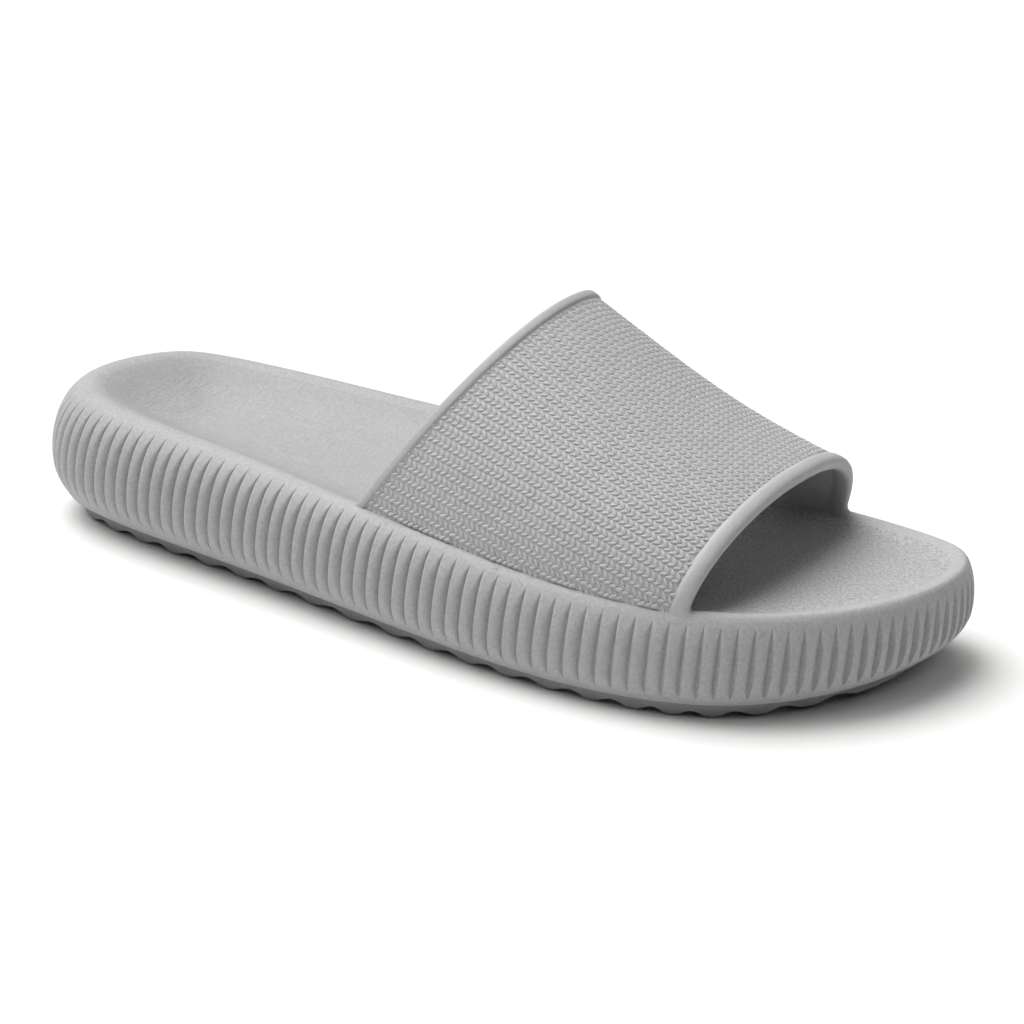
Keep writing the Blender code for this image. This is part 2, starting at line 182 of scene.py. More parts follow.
# The two legs of a stitch, which side of the column each lies on and its shape at the strap's feet and on
# its ridge, in shares of the lean, length, width and height that the strap's settings give: the second
# leg is a short steep stroke at the feet and a broad, almost straight cord on the ridge
LegShape = namedtuple("LegShape", "lean length breadth height")
LEGS = ((1.0, LegShape(0.8, 1.1, 0.9, 1.05), LegShape(1.0, 1.0, 1.0, 1.0)),
        (-1.0, LegShape(1.5, 1.0, 0.75, 0.6), LegShape(0.2, 1.3, 1.4, 0.8)))
LEG_SEGMENTS = 6
LEG_RINGS = 4
LEG_UNEVEN = (0.86, 1.1)
KNIT_SEED = 7

# How far the knit runs in under the bead and the lip, the grid on which its columns are laid out, and the
# share of the strap's length over which a column's direction is taken
BEAD_LAP = 1.0
LIP_LAP = 0.3
KNIT_SHARES = 161
KNIT_ANGLES = 721
STITCH_STEP = 0.004

# Feet of the strap: fine columns near each foot, and the fillets on the rim: of the lip along the wall and
# to its sides, and of the bead along the wall
FOOT_STEPS = (0.0, 0.2, 0.4, 0.65, 0.95, 1.3, 1.7, 2.2, 2.8, 3.5, 4.3)
FILLET = 2.4
SIDE_FILLET = 0.3
BEAD_FILLET = FILLET / 3

# Angle in degrees past which two faces meet in a sharp edge
SHARP_ANGLE = 50.0

# Finish of each foam face: roughness, the width and the depth of its pebble, and how far its speckle goes
# lighter and darker. The cells of such foam are about 0.2 mm wide: pebble, specks and strokes are drawn
# several times as coarse, so that they show in the picture
Finish = namedtuple("Finish", "roughness pebble depth speckle")
SIDE_FINISH = Finish(0.6, 0.8, 0.12, 0.13)
TREAD_FINISH = Finish(0.65, 0.9, 0.12, 0.1)
BED_FINISH = Finish(0.62, 0.9, 0.05, 0.14)
WALL_FINISH = Finish(0.6, 0.7, 0.08, 0.06)
KNIT_FINISH = Finish(0.6, 0.5, 0.03, 0.1)
FOAM_IOR = 1.45

# Patterns of all the foam: the width and the shades of its mottle, the width of its specks, and its mould
# marks: their spacing, how thin they are, the values of the mottle between which they come up, and their
# height as a share of the pebble's
MOTTLE_WIDTH = 7.0
MOTTLE_SHADES = (0.92, 1.05)
SPECK_WIDTH = 0.9
SCUFF_SPACING = 5.0
SCUFF_LINE = 0.008
SCUFF_PATCHES = (0.56, 0.62)
SCUFF_HEIGHT = 0.7

# Grain of the footbed: the distances inside the crest over which it fades in, the places on the length
# between which its strokes turn into pebble, the width of the pebble and the size of a stroke along,
# across and up, the depth of both and the share of it that each takes, and the painted shade and painted
# highlight of the pebble under the toes: how far its colour goes darker where it sinks and lighter where
# it rises
GRAIN_FADE = (5.0, 15.0)
GRAIN_TURN = (-10.0, 40.0)
PEBBLE_WIDTH = 0.75
STROKE_SIZE = (0.75, 4.0, 4.0)
GRAIN_DEPTH = 0.23
STROKE_SHARE = 0.9
PEBBLE_SHARE = 0.3
PEBBLE_PAINTED_SHADES = (0.72, 1.28)

# Stage: half the floor's width, how far it lies under the tread and its finish, and the lights' directions
# in degrees round the slipper, with 0 at the toe and 90 on the inner side, and over the floor
FLOOR_HALF = 4000.0
FLOOR_DROP = 0.4
FLOOR_ROUGHNESS = 0.9
FLOOR_SHINE = 0.1
LIGHT_TURNS = {"heel_light": 180.0, "side_light": 225.0, "toe_light": 0.0, "back_light": 135.0}
LIGHT_RISE = 60.0

# Camera of the picture: where it looks, its distance, direction, roll and focal length in pixels
AIM = (8.44, 10.37, 21.32)
DISTANCE = 809.38
AZIMUTH = 26.21
ELEVATION = 20.16
ROLL = 2.95
FOCAL_PIXELS = 2863.5
PICTURE_PIXELS = 1024
SENSOR = 36.0


def linear(code):
    """Linear red, green and blue of an sRGB hex colour."""
    shares = [int(code[i:i + 2], 16) / 255 for i in (1, 3, 5)]
    return tuple(c / 12.92 if c <= 0.04045 else ((c + 0.055) / 1.055) ** 2.4 for c in shares)


class SlipperSole(bpy.types.PropertyGroup):
    """Sizes and colours of the sole, the tread and the footbed."""

    ribs: IntProperty(name="Ribs", description="Ribs round the side", default=148, min=20)
    groove_depth: FloatProperty(
        name="Groove depth", description="Depth of a groove where it is deepest",
        default=2.3 * MM, unit="LENGTH")
    groove_half: FloatProperty(
        name="Groove half width", description="Half width of a groove where it is deepest",
        default=1.75 * MM, unit="LENGTH")
    foot_taper: FloatProperty(
        name="Foot taper", description="Share of a groove's height where its foot tapers", default=0.33)
    top_taper: FloatProperty(
        name="Top taper", description="Share of a groove's height where its top tapers", default=0.5)
    groove_lip: FloatProperty(
        name="Groove lip", description="How softly a rib turns into its groove", default=1.2)
    rib_crown: FloatProperty(
        name="Rib crown", description="How far a rib swells between its grooves",
        default=0.15 * MM, unit="LENGTH")
    lug_height: FloatProperty(
        name="Lug height", description="Height of the tread's lugs", default=1.4 * MM, unit="LENGTH")
    side_colour: FloatVectorProperty(
        name="Side colour", description="Foam of the sole", subtype="COLOR", default=linear("#b1b1b1"))
    tread_colour: FloatVectorProperty(
        name="Tread colour", description="Foam of the tread", subtype="COLOR", default=linear("#a6a6a6"))
    bed_colour: FloatVectorProperty(
        name="Footbed colour", description="Foam of the footbed", subtype="COLOR",
        default=linear("#acacac"))


class SlipperStrap(bpy.types.PropertyGroup):
    """Sizes and colour of the strap and its moulded knit."""

    collar_wale: FloatProperty(
        name="Wale at the collar", description="Width of a column of stitches at the collar",
        default=3.4 * MM, unit="LENGTH")
    throat_wale: FloatProperty(
        name="Wale at the throat", description="Width of a column of stitches at the throat",
        default=2.65 * MM, unit="LENGTH")
    collar_pitch: FloatProperty(
        name="Pitch at the collar", description="Length of one stitch at the collar",
        default=1.88 * MM, unit="LENGTH")
    throat_pitch: FloatProperty(
        name="Pitch at the throat", description="Length of one stitch at the throat",
        default=1.74 * MM, unit="LENGTH")
    leg_length: FloatProperty(
        name="Leg length", description="Length of one leg of a stitch", default=2.25 * MM, unit="LENGTH")
    leg_width: FloatProperty(
        name="Leg width", description="Width of one leg of a stitch", default=1.15 * MM, unit="LENGTH")
    leg_height: FloatProperty(
        name="Leg height", description="Height of a leg over the wall at the strap's feet",
        default=0.54 * MM, unit="LENGTH")
    ridge_relief: FloatProperty(
        name="Ridge relief", description="Share of the legs' height that is left on the strap's ridge",
        default=0.24)
    leg_lean: FloatProperty(
        name="Leg lean", description="Angle of a leg to its column", default=math.radians(29.0),
        unit="ROTATION")
    wall_colour: FloatVectorProperty(
        name="Wall colour", description="Foam of the wall, its bead and its lip", subtype="COLOR",
        default=linear("#b9b9b9"))
    knit_colour: FloatVectorProperty(
        name="Knit colour", description="Foam of the moulded knit", subtype="COLOR",
        default=linear("#bebebe"))


class SlipperStage(bpy.types.PropertyGroup):
    """Floor and light."""

    floor_colour: FloatVectorProperty(
        name="Floor colour", description="Pale floor", subtype="COLOR", default=linear("#f4f4f3"))
    heel_light: FloatProperty(
        name="Heel light", description="Strength of the key light, high over the heel", default=2.2)
    side_light: FloatProperty(
        name="Side light", description="Strength of the light on the outer side of the heel", default=0.88)
    toe_light: FloatProperty(
        name="Toe light", description="Strength of the light over the toe", default=0.4)
    back_light: FloatProperty(
        name="Back light", description="Strength of the light on the inner side of the heel", default=1.2)
    softness: FloatProperty(
        name="Softness", description="Width of each light as seen from the slipper",
        default=math.radians(50.0), unit="ROTATION")


def from_table(x, name):
    """Smooth curve along the length through one column of the section table."""
    places = np.array([row.along for row in SECTIONS])
    values = np.array([getattr(row, name) for row in SECTIONS])
    spans = np.diff(places)
    rates = np.diff(values) / spans
    inner = (rates[:-1] * spans[1:] + rates[1:] * spans[:-1]) / (spans[1:] + spans[:-1])
    slopes = np.concatenate([rates[:1], inner, rates[-1:]])
    x = np.clip(x, places[0], places[-1])
    i = np.clip(np.searchsorted(places, x) - 1, 0, len(spans) - 1)
    t = (x - places[i]) / spans[i]
    start = values[i] * (1 + 2 * t) * (1 - t) ** 2 + slopes[i] * spans[i] * t * (1 - t) ** 2
    end = values[i + 1] * t * t * (3 - 2 * t) - slopes[i + 1] * spans[i] * t * t * (1 - t)
    return start + end


def closed_spline(points, steps=400):
    """Closed cubic curve, smooth in its bend, through points in the plane."""
    count = len(points)
    ahead = np.roll(points, -1, axis=0)
    span = np.sqrt(np.linalg.norm(ahead - points, axis=1))
    rate = (ahead - points) / span[:, None]
    system = np.zeros((count, count))
    for i in range(count):
        system[i, i - 1] = span[i - 1]
        system[i, i] = 2 * (span[i - 1] + span[i])
        system[i, (i + 1) % count] = span[i]
    bend = np.linalg.solve(system, 6 * (rate - np.roll(rate, 1, axis=0)))
    t = np.linspace(0, 1, steps, endpoint=False)[None, :, None]
    near = ((1 - t) ** 3 - (1 - t)) * bend[:, None]
    far = (t ** 3 - t) * np.roll(bend, -1, axis=0)[:, None]
    straight = points[:, None] * (1 - t) + ahead[:, None] * t
    return (straight + span[:, None, None] ** 2 / 6 * (near + far)).reshape(-1, 2)


def outline_samples():
    """The outline from the heel tip along the outer side to the toe and back, with its arc lengths."""
    lateral = [(row.along, row.lateral) for row in SECTIONS]
    medial = [(row.along, row.medial) for row in reversed(SECTIONS[1:-1])]
    curve = closed_spline(np.array(lateral + medial))
    steps = np.linalg.norm(np.roll(curve, -1, axis=0) - curve, axis=1)
    arcs = np.concatenate([[0.0], np.cumsum(steps)[:-1]])
    return curve, arcs, steps.sum()


OUTLINE, OUTLINE_ARC, PERIMETER = outline_samples()
TANGENT = np.roll(OUTLINE, -1, axis=0) - np.roll(OUTLINE, 1, axis=0)
INWARD = np.column_stack([-TANGENT[:, 1], TANGENT[:, 0]])
INWARD /= np.linalg.norm(INWARD, axis=1)[:, None]


def along_outline(values, arc):
    """Values kept at the outline's samples, read at other arc lengths."""
    columns = [np.interp(arc, OUTLINE_ARC, column, period=PERIMETER) for column in values.T]
    return np.column_stack(columns)


def toe_rise(x):
    """Height of the lugs' faces over the floor, which is the toe spring."""
    return TOE_SPRING * np.clip((x - SPRING_START) / (TOE_END - SPRING_START), 0, None) ** 2


def base_height(x):
    """Height of the sole's underside over the floor."""
    return from_table(x, "base") + toe_rise(x)


def side_points(arc, share, cut=0.0):
    """Points of the barrel side at a share of its height, cut in by a distance."""
    edge = along_outline(OUTLINE, arc)
    x = edge[:, 0]
    base = base_height(x)
    height = from_table(x, "rim") - base
    low = np.clip((BELLY - share) / BELLY, 0, 1)
    high = np.clip((share - BELLY) / (1 - BELLY), 0, 1)
    inset = TUCK * height * low ** TUCK_POWER + from_table(x, "roll") * (1 - np.sqrt(1 - high ** 2)) + cut
    return np.column_stack([edge + along_outline(INWARD, arc) * inset[:, None], base + height * share])


def bowl(x, reach):
    """Share of the fall from the rim's crest to the level footbed at a distance inside the crest."""
    turns = reach / from_table(x, "curl")
    return 1 - (1 + turns) * np.exp(-turns)


def bed_points(arc, reach, sink=0.0):
    """Points of the footbed at a distance inside the rim's crest, sunk below its surface."""
    crest = side_points(arc, 1.0)
    spine_x = np.clip(crest[:, 0], -SPINE_END, SPINE_END)
    spine_y = (from_table(spine_x, "lateral") + from_table(spine_x, "medial")) / 2
    way = np.column_stack([spine_x, spine_y]) - crest[:, :2]
    way /= np.linalg.norm(way, axis=1)[:, None]
    plan = crest[:, :2] + way * reach
    fall = bowl(crest[:, 0], reach)
    height = crest[:, 2] * (1 - fall) + from_table(plan[:, 0], "bed") * fall - sink
    return np.column_stack([plan, height])


def rib_share(arc, level):
    """Share of the side's height at a level of the ribs, 0 at their feet and 1 at their tops."""
    top = from_table(along_outline(OUTLINE, arc)[:, 0], "rib_top")
    return RIB_BOTTOM + (top - RIB_BOTTOM) * level


def groove_share(level, foot_taper, top_taper):
    """Share of a groove's full depth at a level of the ribs, tapering to its foot and its top."""
    foot = min(level / foot_taper, 1.0)
    top = min((1 - level) / top_taper, 1.0)
    return foot * (2 - foot) * top * (2 - top)


def rib_columns(ribs, pitch, half, level):
    """Arc lengths of the columns round the side, their distances from the deepest line and softness."""
    face = pitch - 2 * half
    step = np.concatenate([GROOVE_COLUMNS * half, half + face * RIB_COLUMNS])
    off = np.minimum(np.abs(step), pitch - step)
    skew = GROOVE_SKEW * half * np.clip(1 - (step / half) ** 2, 0, None)
    ahead = GROOVE_LEAN * (level - 0.5) + GROOVE_BOW * 4 * level * (1 - level)
    arc = (np.arange(ribs)[:, None] + GROOVE_PHASE) * pitch + ahead - half + step + skew
    return arc.ravel(), np.tile(off, ribs), np.tile(np.where(step < 0, HEEL_SOFTNESS, 1.0), ribs)


def rim_share(arc, turn):
    """Share of the side's height on the roll from the rib tops to the crest, by equal turns."""
    start = np.arcsin((rib_share(arc, 1.0) - BELLY) / (1 - BELLY))
    return BELLY + (1 - BELLY) * np.sin(start + (np.pi / 2 - start) * turn)


def two_sides(points):
    """A closed line as its lateral and medial halves, each in order along the length."""
    toe = int(np.argmax(points[:, 0]))
    halves = (points[:toe + 1], points[toe:])
    return [half[np.argsort(half[:, 0])] for half in halves]


LATERAL_CREST, MEDIAL_CREST = two_sides(side_points(OUTLINE_ARC, 1.0))


def rim_drop(x, out):
    """How far the rim's top lies under its crest at a distance outside it, or inside where negative."""
    rim = from_table(x, "rim")
    over = np.clip(out / from_table(x, "roll"), 0, 1)
    outer = (rim - base_height(x)) * (1 - BELLY) * (1 - np.sqrt(1 - over ** 2))
    return outer + (rim - from_table(x, "bed")) * bowl(x, np.clip(-out, 0, None))


def foot_out(share, angle):
    """How far the strap's outer foot steps outside the rim's crest, most at the throat."""
    return FOOT_OUT * share ** 3 * np.where(angle < np.pi / 2, 1 - np.sin(angle), 0.0) ** 3


def strap_points(share, angle):
    """Points of the strap's face: share runs from collar to throat, angle from lateral to medial foot."""
    edge = {name: getattr(COLLAR, name) + (getattr(THROAT, name) - getattr(COLLAR, name)) * share
            for name in StrapEdge._fields[1:]}
    power = 2 / np.where(angle < np.pi / 2, LATERAL_FULLNESS, MEDIAL_FULLNESS)
    up = np.abs(np.sin(angle)) ** power
    side = np.sign(np.cos(angle)) * np.abs(np.cos(angle)) ** power
    across = (1 - side) / 2
    rise = edge["rise"] - STRAP_SAG * 4 * share * (1 - share)
    lateral_y = np.interp(edge["lateral"], LATERAL_CREST[:, 0], LATERAL_CREST[:, 1])
    medial_y = np.interp(edge["medial"], MEDIAL_CREST[:, 0], MEDIAL_CREST[:, 1])
    lateral_z = from_table(edge["lateral"], "rim")
    medial_z = from_table(edge["medial"], "rim")
    x = edge["lateral"] + (edge["medial"] - edge["lateral"]) * across + edge["lean"] * up
    out = foot_out(share, angle)
    y = lateral_y + (medial_y - lateral_y) * across + edge["shift"] * up ** 2 - out
    z = lateral_z + (medial_z - lateral_z) * across + rise * up - rim_drop(x, out)
    return np.stack([x, y, z], axis=-1)


def strap_normals(share, angle, step=1e-3):
    """Outward unit normals of the strap's face, level at its feet."""
    inside = np.clip(angle, step, np.pi - step)
    along = strap_points(share + step, inside) - strap_points(share - step, inside)
    around = strap_points(share, inside + step) - strap_points(share, inside - step)
    normal = np.cross(along, around)
    at_foot = (angle < step) | (angle > np.pi - step)
    normal[..., 2] = np.where(at_foot, 0.0, normal[..., 2])
    return normal / np.linalg.norm(normal, axis=-1, keepdims=True)


def add_node(tree, kind, settings=None, inputs=None):
    """Add one node with its settings, and its inputs as values or links."""
    node = tree.nodes.new(kind)
    for name, value in (settings or {}).items():
        setattr(node, name, value)
    for key, value in (inputs or {}).items():
        if isinstance(value, bpy.types.NodeSocket):
            tree.links.new(value, node.inputs[key])
        else:
            node.inputs[key].default_value = value
    return node


def new_piece(name, vertices, faces):
    """A smooth-shaded mesh object at the origin, from points in millimetres."""
    mesh = bpy.data.meshes.new(name)
    mesh.from_pydata((np.asarray(vertices) * MM).tolist(), [], faces)
    mesh.shade_smooth()
    mesh.set_sharp_from_angle(angle=math.radians(SHARP_ANGLE))
    piece = bpy.data.objects.new(name, mesh)
    bpy.context.scene.collection.objects.link(piece)
    return piece


def ring_faces(rings, columns):
    """Quads between closed rings of equal length, and strips that close the first and the last ring."""
    row, column = np.meshgrid(np.arange(rings - 1), np.arange(columns), indexing="ij")
    ahead = (column + 1) % columns
    quads = np.stack([row * columns + column, row * columns + ahead,
                      (row + 1) * columns + ahead, (row + 1) * columns + column], axis=-1)
    faces = quads.reshape(-1, 4).tolist()
    last = (rings - 1) * columns
    for i in range(columns // 2):
        corners = list(dict.fromkeys((i, (columns - i) % columns, columns - i - 1, i + 1)))
        faces.append(corners)
        faces.append([last + corner for corner in reversed(corners)])
    return faces


def tube_faces(rings, loop):
    """Quads between open rows of closed rings of equal length, and one face that closes each end."""
    faces = [list(range(loop))[::-1]]
    for i in range(rings - 1):
        for j in range(loop):
            k = (j + 1) % loop
            faces.append((i * loop + j, i * loop + k, (i + 1) * loop + k, (i + 1) * loop + j))
    faces.append([(rings - 1) * loop + j for j in range(loop)])
    return faces


def store(piece, name, kind, values):
    """Keep one value or vector for each vertex of a piece under a name."""
    key = "vector" if kind == "FLOAT_VECTOR" else "value"
    attribute = piece.data.attributes.new(name, kind, "POINT")
    attribute.data.foreach_set(key, np.asarray(values, np.float32).ravel())


def node_tree(name, sockets, attributes):
    """A geometry tree, and by name its inputs and the attributes it reads, given with their kinds."""
    tree = bpy.data.node_groups.new(name, "GeometryNodeTree")
    tree.interface.new_socket("Geometry", in_out="INPUT", socket_type="NodeSocketGeometry")
    tree.interface.new_socket("Geometry", in_out="OUTPUT", socket_type="NodeSocketGeometry")
    for label, kind in sockets.items():
        tree.interface.new_socket(label, in_out="INPUT", socket_type=kind)
    given = dict(add_node(tree, "NodeGroupInput").outputs.items())
    for label, kind in attributes.items():
        node = add_node(tree, "GeometryNodeInputNamedAttribute", {"data_type": kind}, {"Name": label})
        given[label] = node.outputs["Attribute"]
    return tree, given


def end_tree(tree, geometry, material):
    """Close a geometry tree: real faces in one material."""
    real = add_node(tree, "GeometryNodeRealizeInstances", inputs={"Geometry": geometry})
    painted = add_node(tree, "GeometryNodeSetMaterial",
                       inputs={"Geometry": real.outputs["Geometry"], "Material": material})
    add_node(tree, "NodeGroupOutput", inputs={"Geometry": painted.outputs["Geometry"]})


def run_tree(piece, tree, values):
    """Run a geometry tree on a piece with its named inputs and keep the result as a plain mesh."""
    modifier = piece.modifiers.new(tree.name, "NODES")
    modifier.node_group = tree
    for item in tree.interface.items_tree:
        if item.in_out == "INPUT" and item.name in values:
            modifier[item.identifier] = values[item.name]
    depsgraph = bpy.context.evaluated_depsgraph_get()
    mesh = bpy.data.meshes.new_from_object(piece.evaluated_get(depsgraph))
    piece.modifiers.clear()
    piece.data = mesh
    mesh.name = piece.name


def rib_tree():
    """Cuts the lens-shaped grooves into a side and swells the ribs between them."""
    tree, given = node_tree("rib_grooves", {
        "Pitch": "NodeSocketFloat", "Depth": "NodeSocketFloat", "Half width": "NodeSocketFloat",
        "Lip": "NodeSocketFloat", "Crown": "NodeSocketFloat", "Foam": "NodeSocketMaterial"}, {
        "groove_share": "FLOAT", "off_groove": "FLOAT", "softness": "FLOAT", "fade": "FLOAT",
        "inward": "FLOAT_VECTOR"})
    sums = (
        ("tapered half", "MULTIPLY", "Half width", "groove_share"),
        ("half", "MAXIMUM", "tapered half", NO_GROOVE * MM),
        ("way out", "DIVIDE", "off_groove", "half"),
        ("way left", "SUBTRACT", 1.0, "way out"),
        ("near", "MAXIMUM", "way left", 0.0),
        ("bend", "MULTIPLY", "Lip", "softness"),
        ("profile", "POWER", "near", "bend"),
        ("faded depth", "MULTIPLY", "Depth", "fade"),
        ("tapered depth", "MULTIPLY", "faded depth", "groove_share"),
        ("cut", "MULTIPLY", "tapered depth", "profile"),
        ("both sides", "MULTIPLY", "off_groove", 2.0),
        ("way to crown", "DIVIDE", "both sides", "Pitch"),
        ("fall", "SUBTRACT", 1.0, "way to crown"),
        ("fall squared", "MULTIPLY", "fall", "fall"),
        ("round", "SUBTRACT", 1.0, "fall squared"),
        ("tapered crown", "MULTIPLY", "Crown", "groove_share"),
        ("swell", "MULTIPLY", "tapered crown", "round"),
        ("inset", "SUBTRACT", "cut", "swell"),
    )
    for name, operation, *terms in sums:
        inputs = {i: given.get(term, term) for i, term in enumerate(terms)}
        given[name] = add_node(tree, "ShaderNodeMath", {"operation": operation}, inputs).outputs["Value"]
    move = add_node(tree, "ShaderNodeVectorMath", {"operation": "SCALE"}, {
        "Vector": given["inward"], "Scale": given["inset"]})
    carved = add_node(tree, "GeometryNodeSetPosition", inputs={
        "Geometry": given["Geometry"], "Offset": move.outputs["Vector"]})
    end_tree(tree, carved.outputs["Geometry"], given["Foam"])
    return tree


def stitch_tree():
    """Sets a rounded leg of a stitch on each point of the knit, turned to its lean and wall."""
    tree, given = node_tree("moulded_knit", {
        "Leg length": "NodeSocketFloat", "Leg width": "NodeSocketFloat", "Leg height": "NodeSocketFloat",
        "Foam": "NodeSocketMaterial"}, {
        "out": "FLOAT_VECTOR", "along": "FLOAT_VECTOR", "size": "FLOAT_VECTOR"})
    grain = add_node(tree, "GeometryNodeMeshUVSphere", inputs={
        "Segments": LEG_SEGMENTS, "Rings": LEG_RINGS, "Radius": 0.5})
    size = add_node(tree, "ShaderNodeCombineXYZ", inputs={
        "X": given["Leg height"], "Y": given["Leg width"], "Z": given["Leg length"]})
    leg = add_node(tree, "GeometryNodeTransform", inputs={
        "Geometry": grain.outputs["Mesh"], "Scale": size.outputs["Vector"]})
    turn = add_node(tree, "FunctionNodeAxesToRotation", {"primary_axis": "X", "secondary_axis": "Z"}, {
        "Primary Axis": given["out"], "Secondary Axis": given["along"]})
    uneven = add_node(tree, "FunctionNodeRandomValue", {"data_type": "FLOAT"}, {
        "Min": LEG_UNEVEN[0], "Max": LEG_UNEVEN[1], "Seed": KNIT_SEED})
    scale = add_node(tree, "ShaderNodeVectorMath", {"operation": "SCALE"}, {
        "Vector": given["size"], "Scale": uneven.outputs["Value"]})
    knit = add_node(tree, "GeometryNodeInstanceOnPoints", inputs={
        "Points": given["Geometry"], "Instance": leg.outputs["Geometry"],
        "Rotation": turn.outputs["Rotation"], "Scale": scale.outputs["Vector"]})
    end_tree(tree, knit.outputs["Instances"], given["Foam"])
    return tree


def foam(name, colour, finish):
    """Moulded EVA foam: closed-cell foam that copies its mould, so it is matt and even in colour, with
    a faint mottle and a fine speckle from uneven cells, a fine pebble that takes the shine off, and a
    few hairline marks where the mould has scuffed it."""
    material = bpy.data.materials.new(name)
    material.use_nodes = True
    tree = material.node_tree
    shader = tree.nodes["Principled BSDF"]
    shader.inputs["Roughness"].default_value = finish.roughness
    shader.inputs["IOR"].default_value = FOAM_IOR
    place = add_node(tree, "ShaderNodeTexCoord").outputs["Object"]
    mottle = add_node(tree, "ShaderNodeTexNoise", inputs={
        "Vector": place, "Scale": 1 / (MOTTLE_WIDTH * MM), "Detail": 8.0, "Roughness": 0.8})
    spread = add_node(tree, "ShaderNodeMapRange", inputs={
        "Value": mottle.outputs["Fac"], "From Min": 0.25, "From Max": 0.75,
        "To Min": MOTTLE_SHADES[0], "To Max": MOTTLE_SHADES[1]})
    cells = add_node(tree, "ShaderNodeTexNoise", inputs={
        "Vector": place, "Scale": 1 / (SPECK_WIDTH * MM), "Detail": 2.0, "Roughness": 0.6})
    specks = add_node(tree, "ShaderNodeMapRange", inputs={
        "Value": cells.outputs["Fac"], "From Min": 0.25, "From Max": 0.75,
        "To Min": 1 - finish.speckle, "To Max": 1 + finish.speckle})
    shade = add_node(tree, "ShaderNodeMath", {"operation": "MULTIPLY"}, {
        0: spread.outputs["Result"], 1: specks.outputs["Result"]})
    tint = add_node(tree, "ShaderNodeVectorMath", {"operation": "SCALE"}, {
        "Vector": tuple(colour), "Scale": shade.outputs["Value"]})
    tree.links.new(tint.outputs["Vector"], shader.inputs["Base Color"])
    pebble = add_node(tree, "ShaderNodeTexNoise", inputs={
        "Vector": place, "Scale": 1 / (finish.pebble * MM), "Detail": 3.0, "Roughness": 0.6})
    path = add_node(tree, "ShaderNodeTexNoise", inputs={
        "Vector": place, "Scale": 1 / (SCUFF_SPACING * MM), "Detail": 1.0})
    hairline = add_node(tree, "ShaderNodeMath", {"operation": "COMPARE"}, {
        0: path.outputs["Fac"], 1: 0.5, 2: SCUFF_LINE})
    patch = add_node(tree, "ShaderNodeMapRange", inputs={
        "Value": mottle.outputs["Fac"], "From Min": SCUFF_PATCHES[0], "From Max": SCUFF_PATCHES[1],
        "To Max": SCUFF_HEIGHT})
    scuff = add_node(tree, "ShaderNodeMath", {"operation": "MULTIPLY_ADD"}, {
        0: hairline.outputs["Value"], 1: patch.outputs["Result"], 2: pebble.outputs["Fac"]})
    bump = add_node(tree, "ShaderNodeBump", inputs={
        "Height": scuff.outputs["Value"], "Strength": 1.0, "Distance": finish.depth * MM})
    tree.links.new(bump.outputs["Normal"], shader.inputs["Normal"])
    return material


